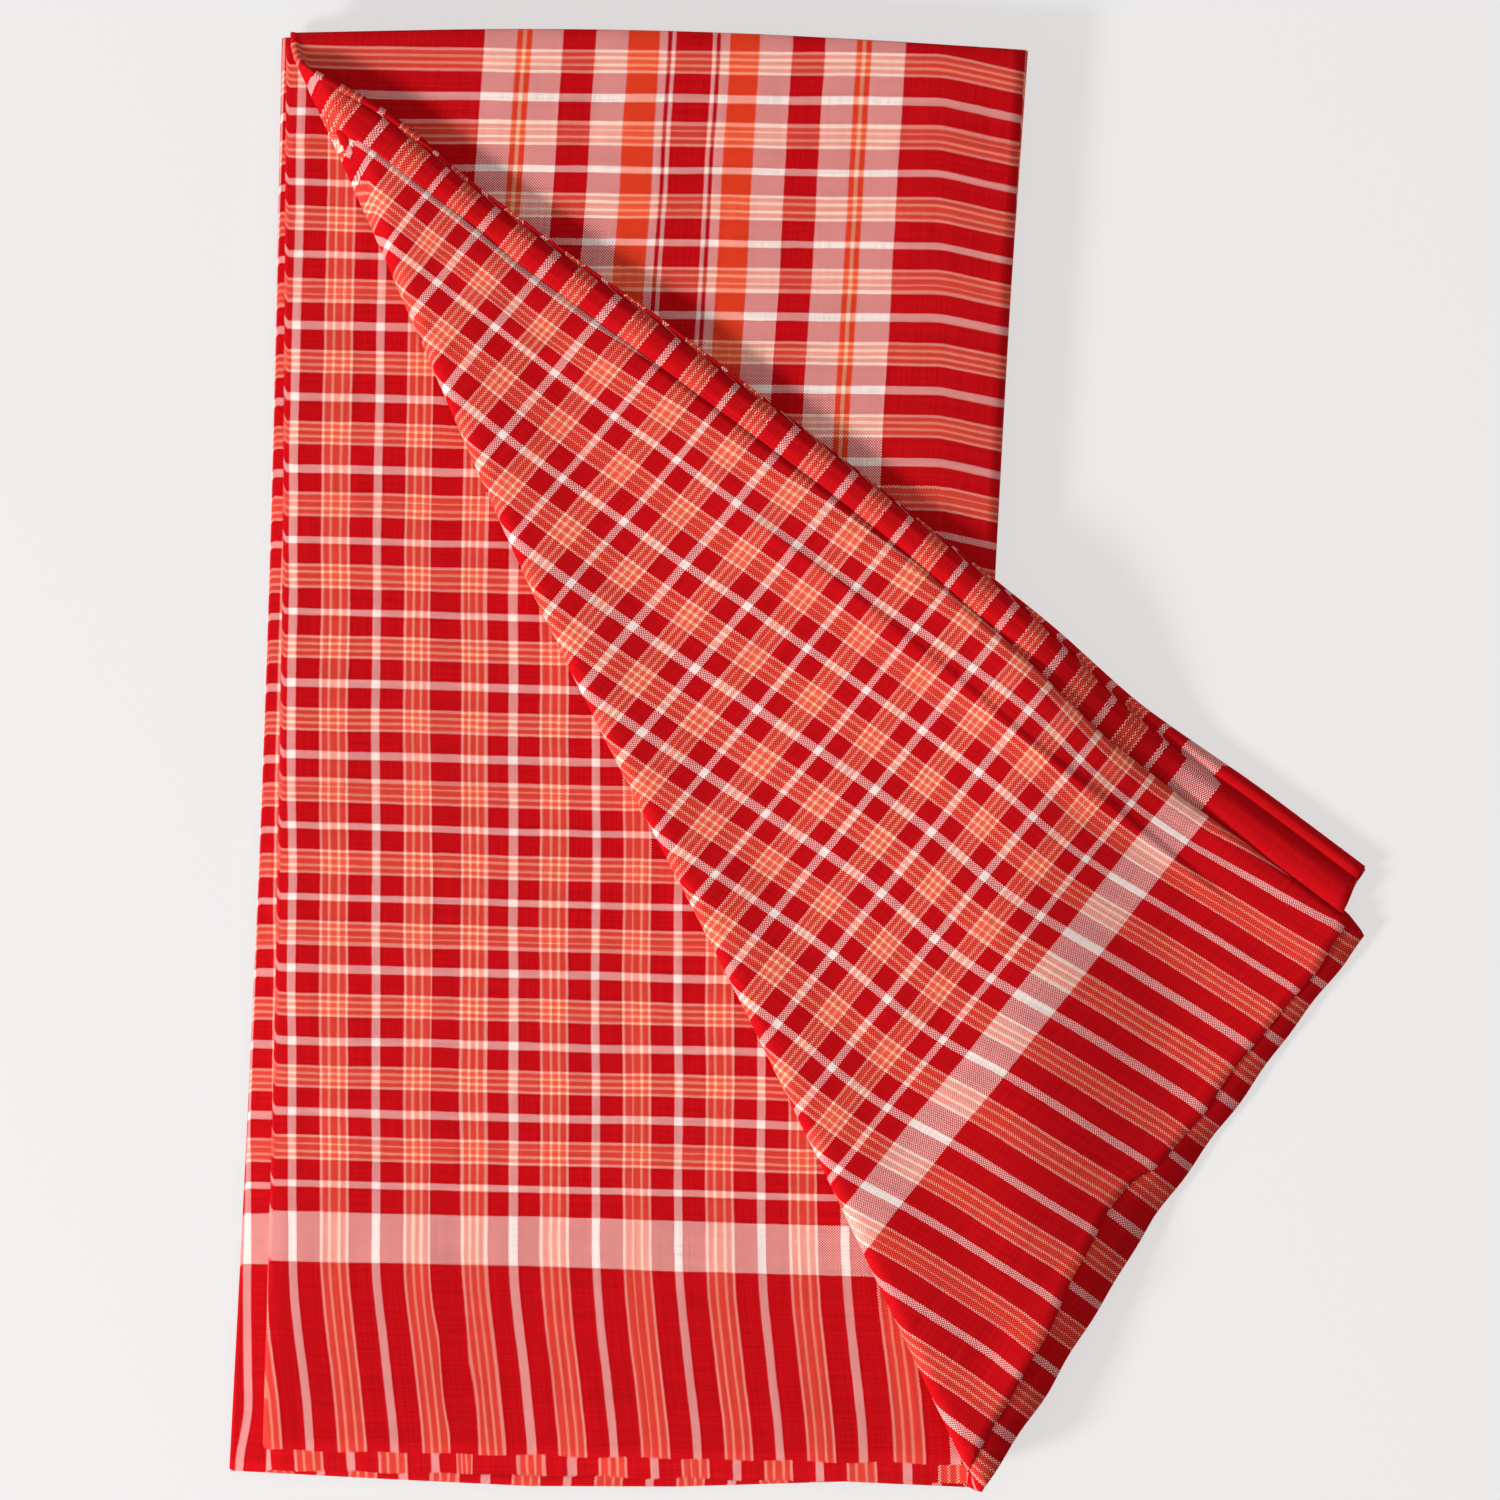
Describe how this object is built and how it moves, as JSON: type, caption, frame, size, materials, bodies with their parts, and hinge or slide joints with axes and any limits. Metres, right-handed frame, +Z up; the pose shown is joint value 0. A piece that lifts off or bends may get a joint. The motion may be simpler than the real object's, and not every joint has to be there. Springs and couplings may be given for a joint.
{
  "type": "folded gamcha towel",
  "caption": "Red checked cotton towel doubled along its length, folded into a flat packet, with its upper layers turned back over the diagonal.",
  "frame": {"origin": "middle of the plan outline, on the surface that the folded cloth lies on", "axes": "+X towards the side that the turned corner hangs over, +Y along the packet towards its lengthwise fold, +Z up through the layers"},
  "size_m": [0.3034, 0.388, 0.0167],
  "materials": {
    "cotton": "matte handwoven cotton, red with white and orange checks"
  },
  "bodies": {
    "root": {"towel": "cotton"}
  },
  "joints": []
}
